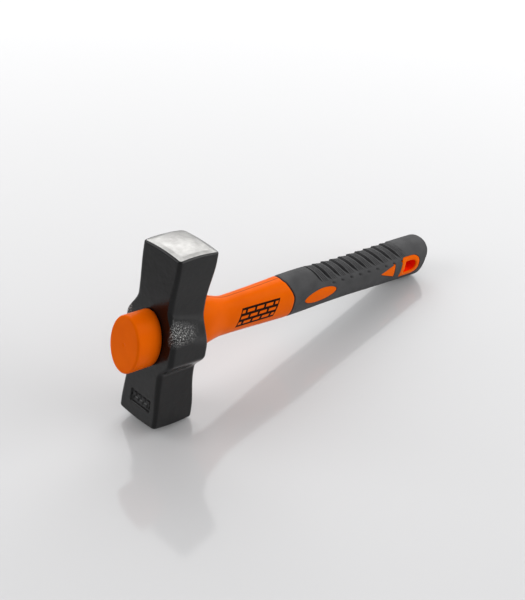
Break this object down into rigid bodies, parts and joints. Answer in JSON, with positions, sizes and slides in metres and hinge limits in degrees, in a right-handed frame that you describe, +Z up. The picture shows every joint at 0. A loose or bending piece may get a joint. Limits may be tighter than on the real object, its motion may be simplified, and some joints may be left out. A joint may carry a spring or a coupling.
{
  "type": "brick hammer",
  "caption": "Double-faced mason's hammer: forged steel head with a bulged oval eye, moulded handle with a soft ribbed grip and a hanging hole in the butt.",
  "frame": {"origin": "middle of the overall box, at the floor that the hammer lies on", "axes": "+X along the handle from the head to the butt, +Y across the head's width, +Z up from the floor; the hammer lies on the rear edge of its lower striking face and on its butt"},
  "size_m": [0.2816, 0.0484, 0.1252],
  "materials": {
    "head_paint": "satin black paint on forged steel, striking faces ground bright",
    "orange_plastic": "semi-gloss moulded polypropylene",
    "grip_rubber": "matte thermoplastic rubber",
    "glass_fibre": "pultruded glass fibre in resin",
    "resin": "cast epoxy"
  },
  "bodies": {
    "root": {"head": "head_paint", "eye_resin": "resin", "eye_cap": "orange_plastic", "fibre_core": "glass_fibre", "jacket": "orange_plastic", "grip": "grip_rubber"}
  },
  "joints": []
}
